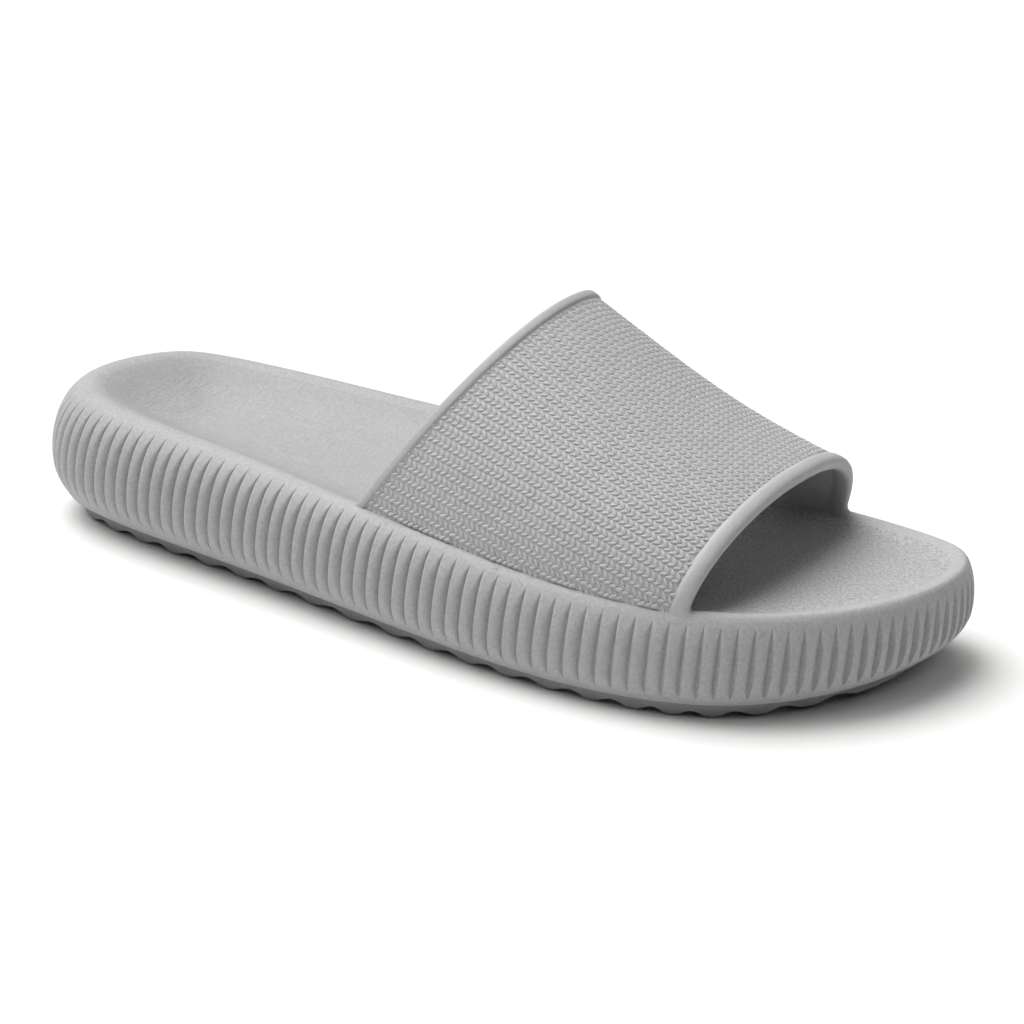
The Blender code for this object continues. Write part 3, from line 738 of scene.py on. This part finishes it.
def footbed_foam(colour):
    """Moulded EVA footbed: pebbled like leather under the toes, with short strokes across the foot
    under the heel and the arch, both fading out towards the rim. Under the toes the colour is also
    painted darker where the pebble sinks and lighter where it rises: painted shade and painted highlight."""
    material = foam("moulded_eva_footbed", colour, BED_FINISH)
    tree = material.node_tree
    shader = tree.nodes["Principled BSDF"]
    place = add_node(tree, "ShaderNodeTexCoord").outputs["Object"]
    along = add_node(tree, "ShaderNodeSeparateXYZ", inputs={"Vector": place}).outputs["X"]
    inside = add_node(tree, "ShaderNodeAttribute", {"attribute_name": "bed_reach"}).outputs["Fac"]
    fade = add_node(tree, "ShaderNodeMapRange", {"interpolation_type": "SMOOTHSTEP"}, {
        "Value": inside, "From Min": GRAIN_FADE[0], "From Max": GRAIN_FADE[1]})
    toes = add_node(tree, "ShaderNodeMapRange", {"interpolation_type": "SMOOTHSTEP"}, {
        "Value": along, "From Min": GRAIN_TURN[0] * MM, "From Max": GRAIN_TURN[1] * MM})
    pebble = add_node(tree, "ShaderNodeTexNoise", inputs={
        "Vector": place, "Scale": 1 / (PEBBLE_WIDTH * MM), "Detail": 2.0, "Roughness": 0.5})
    stretched = add_node(tree, "ShaderNodeMapping", inputs={
        "Vector": place, "Scale": tuple(1 / (size * MM) for size in STROKE_SIZE)})
    stroke = add_node(tree, "ShaderNodeTexNoise", inputs={
        "Vector": stretched.outputs["Vector"], "Scale": 1.0, "Detail": 2.0, "Distortion": 0.4})
    faint = add_node(tree, "ShaderNodeMath", {"operation": "MULTIPLY"}, {
        0: stroke.outputs["Fac"], 1: STROKE_SHARE})
    low = add_node(tree, "ShaderNodeMath", {"operation": "MULTIPLY"}, {
        0: pebble.outputs["Fac"], 1: PEBBLE_SHARE})
    height = add_node(tree, "ShaderNodeMix", {"data_type": "FLOAT"}, {
        "Factor": toes.outputs["Result"], "A": faint.outputs["Value"], "B": low.outputs["Value"]})
    grained = add_node(tree, "ShaderNodeBump", inputs={
        "Height": height.outputs["Result"], "Strength": fade.outputs["Result"],
        "Distance": GRAIN_DEPTH * MM, "Normal": tree.nodes["Bump"].outputs["Normal"]})
    tree.links.new(grained.outputs["Normal"], shader.inputs["Normal"])
    # Painted shade and painted highlight: under the toes the colour goes darker where the pebble sinks and
    # lighter where it rises, as if the pebble were lit at a grazing angle
    pebble_painted_shade = add_node(tree, "ShaderNodeMapRange", inputs={
        "Value": pebble.outputs["Fac"], "From Min": 0.3, "From Max": 0.7,
        "To Min": PEBBLE_PAINTED_SHADES[0], "To Max": PEBBLE_PAINTED_SHADES[1]})
    dark = add_node(tree, "ShaderNodeMix", {"data_type": "FLOAT"}, {
        "Factor": toes.outputs["Result"], "A": 1.0, "B": pebble_painted_shade.outputs["Result"]})
    plain = shader.inputs["Base Color"].links[0].from_socket
    painted_shade_colour = add_node(tree, "ShaderNodeVectorMath", {"operation": "SCALE"}, {
        "Vector": plain, "Scale": dark.outputs["Result"]})
    tree.links.new(painted_shade_colour.outputs["Vector"], shader.inputs["Base Color"])
    return material


def dress(piece, slot, *nodes):
    """Let a finished piece ride on the slipper's body and stand for its solids."""
    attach(piece, BODY)
    if nodes:
        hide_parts(*nodes)


class SLIPPER_OT_sole(bpy.types.Operator):
    """Build the platform sole with its ribbed side and rolled rim"""

    bl_idname = "slipper.sole"
    bl_label = "Sole"

    def execute(self, context):
        sizes = context.scene.slipper_sole
        pitch = PERIMETER / sizes.ribs
        half = sizes.groove_half / MM
        plain, plain_off, soft = rib_columns(sizes.ribs, pitch, GROOVE_MINIMUM, 0.5)
        rings = [(side_points(plain, 0.0, BASE_EDGE), plain, plain_off, 0.0),
                 (side_points(plain, BASE_EDGE_SHARE), plain, plain_off, 0.0)]
        for level in (1 - np.cos(np.linspace(0, np.pi, RIB_ROWS))) / 2:
            share = groove_share(level, sizes.foot_taper, sizes.top_taper)
            arc, off, _ = rib_columns(sizes.ribs, pitch, max(half * share, GROOVE_MINIMUM), level)
            rings.append((side_points(arc, rib_share(arc, level)), arc, off, share))
        over = [side_points(plain, rim_share(plain, turn)) for turn in np.linspace(0, 1, RIM_ROWS + 1)[1:]]
        over += [bed_points(plain, reach) for reach in RIM_REACH]
        over += [bed_points(plain, reach, RECESS_DEPTH) for reach in RECESS_REACH]
        rings += [(points, plain, plain_off, 0.0) for points in over]
        points, arcs, offs, shares = zip(*rings)
        piece = new_piece("sole_platform", np.concatenate(points), ring_faces(len(rings), len(plain)))
        inward = along_outline(INWARD, np.concatenate(arcs))
        store(piece, "off_groove", "FLOAT", np.concatenate(offs) * MM)
        store(piece, "groove_share", "FLOAT", np.repeat(shares, len(plain)))
        store(piece, "fade", "FLOAT", np.interp(np.concatenate(points)[:, 0], FADE_PLACES, GROOVE_FADES))
        store(piece, "softness", "FLOAT", np.tile(soft, len(rings)))
        store(piece, "inward", "FLOAT_VECTOR", np.column_stack([inward, np.zeros(len(inward))]))
        run_tree(piece, rib_tree(), {
            "Pitch": pitch * MM, "Depth": sizes.groove_depth, "Half width": sizes.groove_half,
            "Lip": sizes.groove_lip, "Crown": sizes.rib_crown,
            "Foam": foam("moulded_eva_side", sizes.side_colour, SIDE_FINISH)})
        dress(piece, "sole_foam", "sole")
        return {"FINISHED"}


class SLIPPER_OT_tread(bpy.types.Operator):
    """Build the tread plate with its waved lugs"""

    bl_idname = "slipper.tread"
    bl_label = "Tread"

    def execute(self, context):
        sizes = context.scene.slipper_sole
        inset = from_table(OUTLINE[:, 0], "tread")[:, None]
        rim = side_points(OUTLINE_ARC, 0.0)[:, :2] + INWARD * inset
        lateral, medial = two_sides(rim)
        first = rim[:, 0].min() + SEAT_GAP
        last = rim[:, 0].max() - SEAT_GAP
        turn = np.linspace(0, np.pi, TREAD_LENGTHS)
        x = (first + last) / 2 - (last - first) / 2 * np.cos(turn)
        across = np.linspace(0, 1, TREAD_ACROSS)
        edge = np.interp(x, lateral[:, 0], lateral[:, 1])
        inner = np.interp(x, medial[:, 0], medial[:, 1])
        fade = np.clip(np.minimum(x - first, last - x) / WAVE_FADE, 0, 1)
        wave = LUG_WAVE * fade[:, None] * np.sin(LUG_WAVES * 2 * np.pi * across) * np.sin(np.pi * across)
        place = x[:, None] - wave
        lugs = np.array((first - WAVE_FADE, *LUG_PLACES, last + WAVE_FADE))
        ahead = np.clip(np.searchsorted(lugs, place), 1, len(lugs) - 1)
        gap = lugs[ahead] - lugs[ahead - 1] - LUG_FACE
        over = np.clip(2 * np.abs(place - (lugs[ahead] + lugs[ahead - 1]) / 2) / gap, 0, 1)
        floor = toe_rise(x)[:, None] + sizes.lug_height / MM * (1 - over ** LUG_ROUND)
        y = edge[:, None] + (inner - edge)[:, None] * across
        under = np.stack([np.broadcast_to(x[:, None], y.shape), y, floor], axis=-1)
        top = under.copy()
        top[..., 2] = base_height(x)[:, None] + TREAD_ROOT
        rings = np.concatenate([under, top[:, ::-1]], axis=1)
        piece = new_piece("sole_tread", rings.reshape(-1, 3), tube_faces(*rings.shape[:2]))
        piece.data.materials.append(foam("moulded_eva_tread", sizes.tread_colour, TREAD_FINISH))
        dress(piece, "tread_foam", "outsole")
        return {"FINISHED"}


class SLIPPER_OT_footbed(bpy.types.Operator):
    """Build the dished footbed in the sole's recess"""

    bl_idname = "slipper.footbed"
    bl_label = "Footbed"

    def execute(self, context):
        sizes = context.scene.slipper_sole
        arc = np.arange(BED_COLUMNS) * PERIMETER / BED_COLUMNS
        rings = [bed_points(arc, reach, LINER_THICKNESS) for reach in reversed(BED_REACH)]
        rings += [bed_points(arc, reach, -BED_LIFT) for reach in BED_REACH]
        piece = new_piece("footbed", np.concatenate(rings), ring_faces(len(rings), len(arc)))
        store(piece, "bed_reach", "FLOAT", np.repeat(BED_REACH[::-1] + BED_REACH, len(arc)))
        piece.data.materials.append(footbed_foam(sizes.bed_colour))
        dress(piece, "footbed_foam", "insole")
        return {"FINISHED"}


def rolled_section(edge, fillet):
    """Insets and lifts of a rolled edge from its outer face round to its inner face, grown by a fillet."""
    turn = np.radians(ROLL_TURNS)
    power = 2 / edge.fullness
    out = np.sign(np.cos(turn)) * np.abs(np.cos(turn)) ** power
    up = np.sign(np.sin(turn)) * np.abs(np.sin(turn)) ** power
    inset = edge.width / 2 * (1 - out)
    lift = (edge.crown + edge.under) / 2 + (edge.crown - edge.under) / 2 * up
    ahead = np.clip(out, 0, 1)
    aside = SIDE_FILLET / FILLET * up * ahead ** 0.5
    return [(inset[i] - fillet * ahead[i], lift[i] + fillet * aside[i]) for i in range(len(turn))]


def strap_angles():
    """Angles of the strap's columns, at equal steps round its middle and closer at its feet."""
    angle = np.linspace(0, np.pi, ARCH_STEPS)
    points = strap_points(np.full_like(angle, 0.5), angle)
    arc = np.concatenate([[0], np.cumsum(np.linalg.norm(np.diff(points, axis=0), axis=1))])
    foot = np.array(FOOT_STEPS)
    middle = np.linspace(foot[-1], arc[-1] - foot[-1], STRAP_COLUMNS + 1)[1:-1]
    return np.interp(np.concatenate([foot, middle, arc[-1] - foot[::-1]]), arc, angle)


def strap_lengths(angle):
    """Length of the strap's face from collar to throat at each angle."""
    ends = strap_points(np.ones_like(angle), angle) - strap_points(np.zeros_like(angle), angle)
    return np.linalg.norm(ends, axis=1)


class SLIPPER_OT_strap(bpy.types.Operator):
    """Build the strap's wall with the bead of its collar and the lip of its throat"""

    bl_idname = "slipper.strap"
    bl_label = "Strap"

    def execute(self, context):
        angle = strap_angles()
        length = strap_lengths(angle)
        bays = np.linspace(0, 1, STRAP_BAYS + 1)
        start = (BEAD.width + BEAD_CLEAR) / length
        end = 1 - (LIP.width + LIP_CLEAR) / length
        throat = strap_points(np.ones_like(angle), angle)[:, 2]
        rise = throat - np.where(angle < np.pi / 2, throat[0], throat[-1])
        near = np.clip(1 - rise / FILLET, 0, 1)
        fillet = FILLET * (1 - np.sqrt(1 - near ** 2))
        lines = [(start + (end - start) * bay, 0.0) for bay in bays]
        lines += [(1 - inset / length, lift) for inset, lift in rolled_section(LIP, fillet)]
        lines += [(start + (end - start) * bay, WALL_DEPTH) for bay in bays[::-1]]
        bead = rolled_section(BEAD, fillet * BEAD_FILLET / FILLET)
        lines += [(inset / length, lift) for inset, lift in reversed(bead)]
        root = np.array([0.0, 0.0, FOOT_ROOT])
        rows = []
        for share, lift in lines:
            points = strap_points(share, angle) + strap_normals(share, angle) * np.reshape(lift, (-1, 1))
            out = foot_out(share, angle)
            points[:, 2] -= (rim_drop(points[:, 0], lift + out) - rim_drop(points[:, 0], out)) * near
            rows.append(np.concatenate([points[:1] - root, points, points[-1:] - root]))
        rings = np.stack(rows, axis=1)
        piece = new_piece("strap_wall", rings.reshape(-1, 3), tube_faces(*rings.shape[:2]))
        colour = context.scene.slipper_strap.wall_colour
        piece.data.materials.append(foam("moulded_eva_strap", colour, WALL_FINISH))
        dress(piece, "strap_foam", "upper")
        return {"FINISHED"}


def knit_points(collar_wale, throat_wale, collar_pitch, throat_pitch):
    """Places, wale directions, normals, wale widths and turns of the stitches, from the throat back."""
    shares = np.linspace(0, 1, KNIT_SHARES)
    angles = np.linspace(0, np.pi, KNIT_ANGLES)
    grid_share, grid_angle = np.meshgrid(shares, angles, indexing="ij")
    grid = strap_points(grid_share.ravel(), grid_angle.ravel()).reshape(KNIT_SHARES, KNIT_ANGLES, 3)
    steps = np.linalg.norm(np.diff(grid, axis=1), axis=2)
    foot = np.minimum(np.cumsum(steps, axis=1), np.cumsum(steps[:, ::-1], axis=1)[:, ::-1])
    swell = 1 + RIM_SWELL * np.exp(-foot / SWELL_SPAN)
    arc = np.concatenate([np.zeros((KNIT_SHARES, 1)), np.cumsum(steps / swell, axis=1)], axis=1)
    arc -= arc[:, KNIT_ANGLES // 2, None]
    wale = collar_wale + (throat_wale - collar_wale) * shares
    pitch = collar_pitch + (throat_pitch - collar_pitch) * shares[1:]
    drift = DRIFT[0] * shares + DRIFT[1] * shares ** 3
    reach = int(np.ceil(np.abs(arc / wale[:, None]).max())) + int(drift[-1] / throat_wale) + 1
    found = []
    for column in range(-reach, reach):
        off = (column + 0.5) * wale - drift
        angle = np.array([np.interp(off[i], arc[i], angles) for i in range(KNIT_SHARES)])
        on_wall = (off > arc[:, 0] - wale / 2) & (off < arc[:, -1] + wale / 2)
        line = strap_points(shares, angle)
        counts = np.linalg.norm(np.diff(line, axis=0), axis=1) / pitch
        count = np.concatenate([np.cumsum(counts[::-1])[::-1], [0.0]])
        lead = LEAD_GROWTH * max(abs(column + 0.5) - LEAD_START, 0.0) ** 2 % 1
        first = (LIP.width - LIP_LAP) / throat_pitch + lead
        for place in np.arange(first, count[0] - (BEAD.width - BEAD_LAP) / collar_pitch):
            share = np.interp(-place, -count, shares)
            if np.interp(share, shares, on_wall) < 1:
                continue
            turn = np.interp(share, shares, angle)
            row = int(share * (KNIT_SHARES - 1))
            width = wale[row] * np.interp(turn, angles[1:], swell[row])
            found.append((share, turn, width, np.interp(share + STITCH_STEP, shares, angle)))
    share, turn, width, ahead = np.array(found).T
    points = strap_points(share, turn)
    along = strap_points(share + STITCH_STEP, ahead) - points
    along /= np.linalg.norm(along, axis=1)[:, None]
    return points, along, strap_normals(share, turn), width, turn


class SLIPPER_OT_knit(bpy.types.Operator):
    """Set the moulded stitches on the strap's wall"""

    bl_idname = "slipper.knit"
    bl_label = "Knit"

    def execute(self, context):
        sizes = context.scene.slipper_strap
        points, wale, out, width, turn = knit_points(
            sizes.collar_wale / MM, sizes.throat_wale / MM,
            sizes.collar_pitch / MM, sizes.throat_pitch / MM)
        across = np.cross(out, wale)
        ridge = np.sin(turn) ** 2
        tall = 1 - (1 - sizes.ridge_relief) * np.sin(turn) ** RELIEF_FALL
        places = []
        ways = []
        scales = []
        for side, at_foot, at_ridge in LEGS:
            lean, length, breadth, height = np.outer(at_foot, 1 - ridge) + np.outer(at_ridge, ridge)
            angle = side * sizes.leg_lean * lean[:, None]
            places.append(points + across * (side * width / 4)[:, None])
            ways.append(wale * np.cos(angle) + across * np.sin(angle))
            scales.append(np.column_stack([height * tall, breadth * width / width.mean(), length]))
        piece = new_piece("strap_knit", np.concatenate(places), [])
        store(piece, "along", "FLOAT_VECTOR", np.concatenate(ways))
        store(piece, "out", "FLOAT_VECTOR", np.tile(out, (len(LEGS), 1)))
        store(piece, "size", "FLOAT_VECTOR", np.concatenate(scales))
        run_tree(piece, stitch_tree(), {
            "Leg length": sizes.leg_length, "Leg width": sizes.leg_width,
            "Leg height": 2 * sizes.leg_height,
            "Foam": foam("moulded_eva_knit", sizes.knit_colour, KNIT_FINISH)})
        piece.data.shade_smooth()
        dress(piece, "strap_foam")
        return {"FINISHED"}


def floor_paper(colour):
    """Matt paper: even and without shine, so that the floor goes to white behind the slipper."""
    material = bpy.data.materials.new("matt_paper_floor")
    material.use_nodes = True
    shader = material.node_tree.nodes["Principled BSDF"]
    shader.inputs["Base Color"].default_value = (*colour, 1.0)
    shader.inputs["Roughness"].default_value = FLOOR_ROUGHNESS
    shader.inputs["Specular IOR Level"].default_value = FLOOR_SHINE
    return material


def soft_light(name, strength, softness):
    """A far, wide light over the whole floor, from its own side of the slipper."""
    data = bpy.data.lights.new(name, "SUN")
    data.energy = strength
    data.angle = softness
    light = bpy.data.objects.new(name, data)
    turn = math.radians(LIGHT_TURNS[name])
    tilt = math.radians(LIGHT_RISE)
    place = Vector((math.cos(turn) * math.cos(tilt), math.sin(turn) * math.cos(tilt), math.sin(tilt)))
    light.rotation_euler = place.to_track_quat("Z", "Y").to_euler()
    bpy.context.scene.collection.objects.link(light)


class SLIPPER_OT_stage(bpy.types.Operator):
    """Set the floor, the light and the camera"""

    bl_idname = "slipper.stage"
    bl_label = "Stage"

    def execute(self, context):
        settings = context.scene.slipper_stage
        corners = [(x * FLOOR_HALF, y * FLOOR_HALF, -FLOOR_DROP)
                   for x, y in ((-1, -1), (1, -1), (1, 1), (-1, 1))]
        floor = new_piece("floor", corners, [(0, 1, 2, 3)])
        floor.data.materials.append(floor_paper(settings.floor_colour))
        for name in LIGHT_TURNS:
            soft_light(name, getattr(settings, name), settings.softness)
        world = bpy.data.worlds.new("dark_room")
        world.use_nodes = True
        world.node_tree.nodes["Background"].inputs["Strength"].default_value = 0.0
        context.scene.world = world
        context.scene.view_settings.view_transform = "Standard"
        azimuth = math.radians(AZIMUTH)
        elevation = math.radians(ELEVATION)
        back = Vector((math.sin(azimuth) * math.cos(elevation), -math.cos(azimuth) * math.cos(elevation),
                       math.sin(elevation)))
        right = Vector((math.cos(azimuth), math.sin(azimuth), 0.0))
        turned = Matrix.Rotation(math.radians(ROLL), 3, back) @ right
        axes = Matrix((turned, back.cross(turned), back)).transposed()
        data = bpy.data.cameras.new("picture_camera")
        data.sensor_width = SENSOR
        data.lens = FOCAL_PIXELS * SENSOR / PICTURE_PIXELS
        camera = bpy.data.objects.new("picture_camera", data)
        camera.matrix_world = Matrix.Translation((Vector(AIM) + back * DISTANCE) * MM) @ axes.to_4x4()
        context.scene.collection.objects.link(camera)
        context.scene.camera = camera
        return {"FINISHED"}


BUILDERS = (SLIPPER_OT_sole, SLIPPER_OT_tread, SLIPPER_OT_footbed, SLIPPER_OT_strap, SLIPPER_OT_knit,
            SLIPPER_OT_stage)


class SLIPPER_PT_panel(bpy.types.Panel):
    """Lists the slipper's pieces and sizes"""

    bl_idname = "SLIPPER_PT_panel"
    bl_label = "Platform slipper"
    bl_space_type = "VIEW_3D"
    bl_region_type = "UI"
    bl_category = "Slipper"

    def draw(self, context):
        for builder in BUILDERS:
            self.layout.operator(builder.bl_idname)
        scene = context.scene
        for group in (scene.slipper_sole, scene.slipper_strap, scene.slipper_stage):
            box = self.layout.box()
            for name in group.__annotations__:
                box.prop(group, name)


CLASSES = (SlipperSole, SlipperStrap, SlipperStage, *BUILDERS, SLIPPER_PT_panel)


def register():
    """Register the classes and hang the settings on the scene."""
    for item in CLASSES:
        bpy.utils.register_class(item)
    bpy.types.Scene.slipper_sole = PointerProperty(type=SlipperSole)
    bpy.types.Scene.slipper_strap = PointerProperty(type=SlipperStrap)
    bpy.types.Scene.slipper_stage = PointerProperty(type=SlipperStage)


def unregister():
    """Take the settings off the scene and unregister the classes."""
    del bpy.types.Scene.slipper_sole
    del bpy.types.Scene.slipper_strap
    del bpy.types.Scene.slipper_stage
    for item in reversed(CLASSES):
        bpy.utils.unregister_class(item)


def main():
    """Build the slipper and its stage."""
    register()
    bpy.ops.slipper.sole()
    bpy.ops.slipper.tread()
    bpy.ops.slipper.footbed()
    bpy.ops.slipper.strap()
    bpy.ops.slipper.knit()
    bpy.ops.slipper.stage()


if __name__ == "__main__":
    main()
